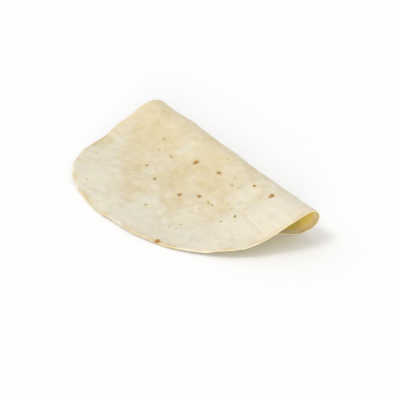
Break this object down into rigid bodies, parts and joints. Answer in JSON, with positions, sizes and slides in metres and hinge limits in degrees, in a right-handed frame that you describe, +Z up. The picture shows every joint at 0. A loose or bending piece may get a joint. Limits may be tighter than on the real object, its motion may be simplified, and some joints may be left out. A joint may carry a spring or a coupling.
{
  "type": "flour tortilla",
  "caption": "Thin round flatbread loosely folded over on itself: a flat lower layer, an open rounded loop along the crease and a long flap that reaches past the lower layer.",
  "frame": {"origin": "centre of the bounding box's bottom, on the surface that the tortilla lies on", "axes": "+X along the crease, towards the end where the loop is tallest; +Y from the flap towards the crease; +Z up"},
  "size_m": [0.2514, 0.1312, 0.0285],
  "materials": {
    "baked_dough": "matte"
  },
  "bodies": {
    "root": {"tortilla": "baked_dough"}
  },
  "joints": []
}
